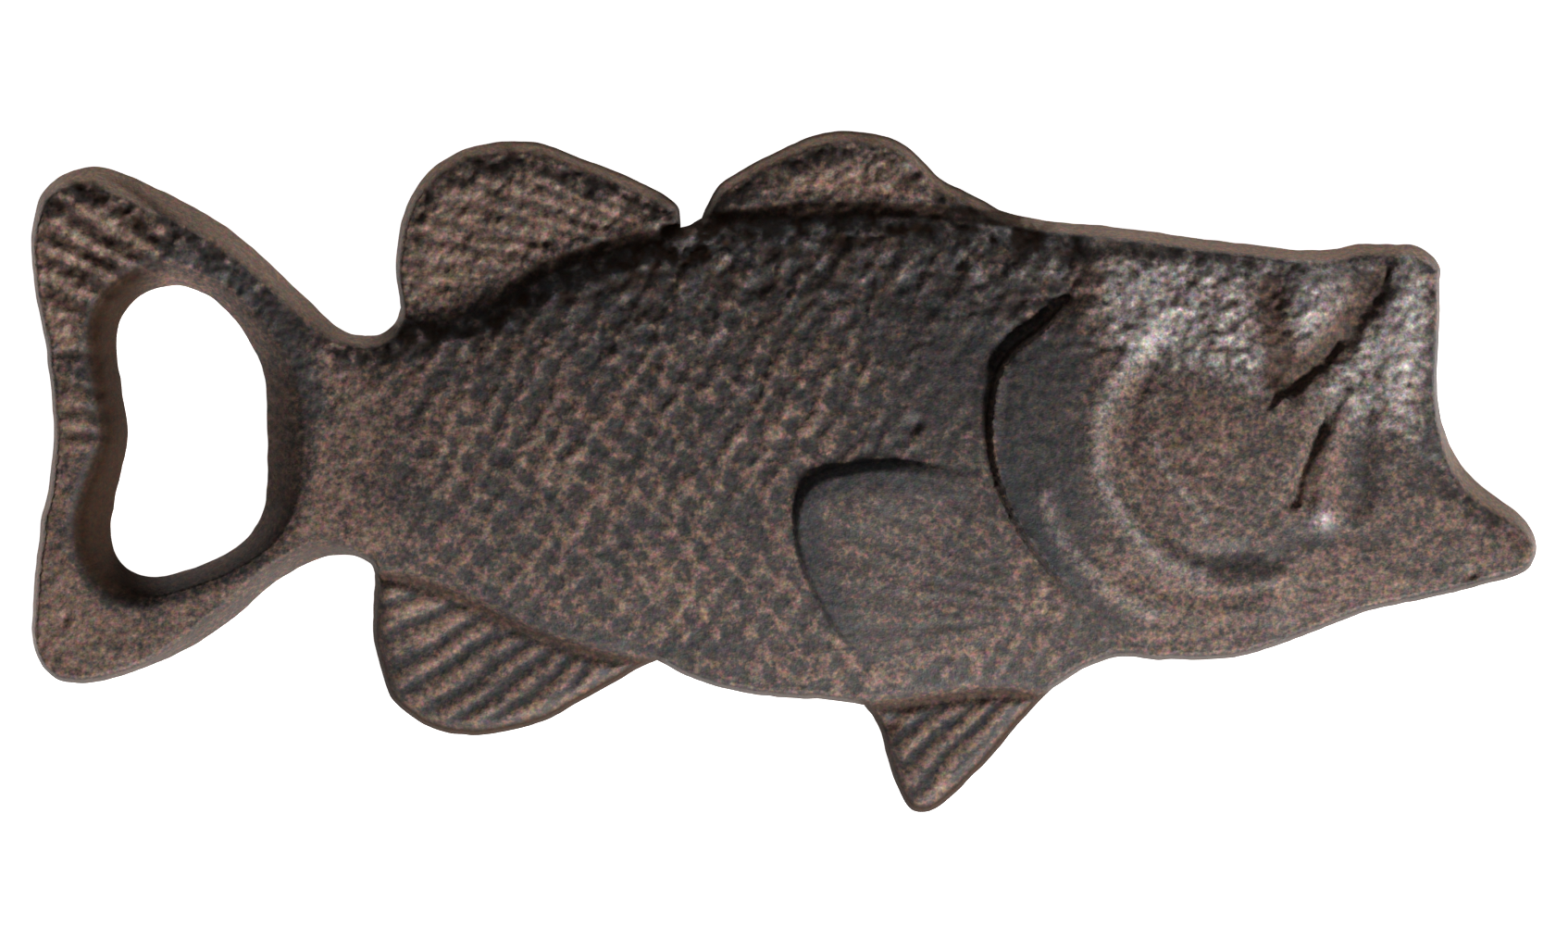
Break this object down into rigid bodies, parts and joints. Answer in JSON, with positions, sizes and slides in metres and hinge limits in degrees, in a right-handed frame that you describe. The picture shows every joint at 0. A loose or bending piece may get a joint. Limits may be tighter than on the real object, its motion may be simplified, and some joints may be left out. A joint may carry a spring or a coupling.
{
  "type": "souvenir bottle opener",
  "caption": "Cast-iron bottle opener shaped as a largemouth bass, which grips a crown cap in the opening through its tail.",
  "frame": {"origin": "middle of the flat back's bounding box, on the plane that the opener rests on", "axes": "+X towards the jaw's tip, +Y towards the back fins, +Z out of the relief"},
  "size_m": [0.1602, 0.0725, 0.0096],
  "materials": {
    "lacquered_iron": "sand-cast, dark graphite mottled with rust brown, semi-gloss clear lacquer"
  },
  "bodies": {
    "root": {"trunk": "lacquered_iron", "head": "lacquered_iron", "gill_cover": "lacquered_iron", "cheek": "lacquered_iron", "eye": "lacquered_iron", "upper_jaw": "lacquered_iron", "lower_jaw": "lacquered_iron", "soft_dorsal_fin": "lacquered_iron", "spiny_dorsal_fin": "lacquered_iron", "anal_fin": "lacquered_iron", "pelvic_fin": "lacquered_iron", "pectoral_fin": "lacquered_iron", "tail_root": "lacquered_iron", "tail_upper_lobe": "lacquered_iron", "tail_lower_lobe": "lacquered_iron", "cap_lip": "lacquered_iron"}
  },
  "joints": []
}
